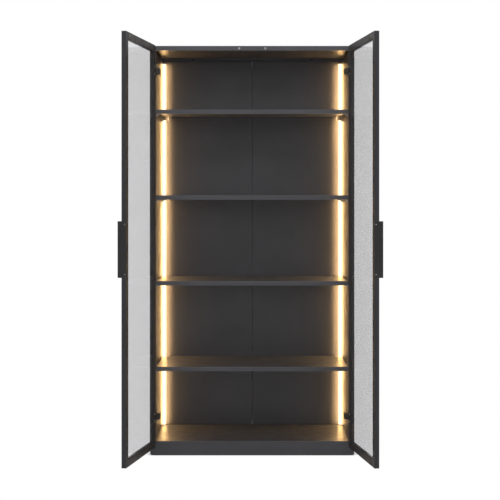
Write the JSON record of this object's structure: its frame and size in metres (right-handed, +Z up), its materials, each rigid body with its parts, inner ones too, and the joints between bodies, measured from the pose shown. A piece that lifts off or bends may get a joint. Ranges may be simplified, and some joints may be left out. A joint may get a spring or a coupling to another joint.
{
  "type": "display cabinet",
  "caption": "Tall floor-standing steel display cabinet with two hinged glass doors, adjustable shelves, lit rear corners and wall fixing holes.",
  "frame": {"origin": "on the floor, on the centre line, midway between the two door hinge axes and in their common plane, 14.5 mm in front of the cabinet's front plane", "axes": "+X to the right as seen from the front, +Y to the rear (towards the wall), +Z up"},
  "size_m": [0.9563, 0.7814, 1.606],
  "materials": {
    "cabinet_steel": "charcoal powder coat, fine texture, satin",
    "door_frame": "charcoal powder coat, fine texture, satin",
    "handle_metal": "charcoal powder coat, satin",
    "door_glass": "clear toughened glass, faint grey tint",
    "seal_rubber": "black extruded seal",
    "hinge_steel": "nickel plated, satin",
    "screw_steel": "zinc plated",
    "clip_steel": "nickel plated, satin",
    "zinc_steel": "zinc plated",
    "strike_steel": "nickel plated",
    "magnet_steel": "nickel plated magnet case",
    "key_aluminium": "mill finish",
    "light_aluminium": "anodised silver",
    "light_opal": "opal diffuser, lit warm white",
    "light_board": "white light strip board",
    "cap_plastic": "grey moulded end cap",
    "lead_jacket": "black cable jacket",
    "inlet_plastic": "black moulded socket",
    "glide_plastic": "black nylon"
  },
  "bodies": {
    "cabinet": {"assembly_screws": "screw_steel", "back_panel_left": "cabinet_steel", "back_panel_right": "cabinet_steel", "back_seam_clip": "zinc_steel", "door_magnets": "magnet_steel", "floor_glides": "glide_plastic", "floor_panel": "cabinet_steel", "hinge_arms": "hinge_steel", "hinge_plate_screws": "screw_steel", "hinge_plates": "hinge_steel", "light_cover_left": "light_opal", "light_cover_right": "light_opal", "light_end_caps_left": "cap_plastic", "light_end_caps_right": "cap_plastic", "light_lead_left": "lead_jacket", "light_lead_right": "lead_jacket", "light_profile_left": "light_aluminium", "light_profile_right": "light_aluminium", "light_strip_left": "light_board", "light_strip_right": "light_board", "power_inlet": "inlet_plastic", "shelf_1": "cabinet_steel", "shelf_2": "cabinet_steel", "shelf_3": "cabinet_steel", "shelf_4": "cabinet_steel", "shelf_clips": "clip_steel", "side_liner_left": "cabinet_steel", "side_liner_right": "cabinet_steel", "side_panel_left": "cabinet_steel", "side_panel_right": "cabinet_steel", "top_panel": "cabinet_steel", "wall_fixing_plates": "cabinet_steel"},
    "door_left": {"door_bottom_rail_left": "door_frame", "door_corner_keys_left": "key_aluminium", "door_free_stile_left": "door_frame", "door_glass_left": "door_glass", "door_glass_seal_left": "seal_rubber", "door_handle_left": "handle_metal", "door_handle_screws_left": "screw_steel", "door_hinge_cup_screws_left": "screw_steel", "door_hinge_cups_left": "hinge_steel", "door_hinge_pins_left": "screw_steel", "door_hinge_stile_left": "door_frame", "door_strike_plate_left": "strike_steel", "door_top_rail_left": "door_frame"},
    "door_right": {"door_bottom_rail_right": "door_frame", "door_corner_keys_right": "key_aluminium", "door_free_stile_right": "door_frame", "door_glass_right": "door_glass", "door_glass_seal_right": "seal_rubber", "door_handle_right": "handle_metal", "door_handle_screws_right": "screw_steel", "door_hinge_cup_screws_right": "screw_steel", "door_hinge_cups_right": "hinge_steel", "door_hinge_pins_right": "screw_steel", "door_hinge_stile_right": "door_frame", "door_strike_plate_right": "strike_steel", "door_top_rail_right": "door_frame"}
  },
  "joints": [
    {"name": "door_left_hinge", "type": "hinge", "parent": "cabinet", "child": "door_left", "pos_m": [-0.3925, 0, 0], "axis": [0, 0, -1], "range_deg": [-100.7, 6]},
    {"name": "door_right_hinge", "type": "hinge", "parent": "cabinet", "child": "door_right", "pos_m": [0.3925, 0, 0], "axis": [0, 0, 1], "range_deg": [-98.7, 8]}
  ]
}
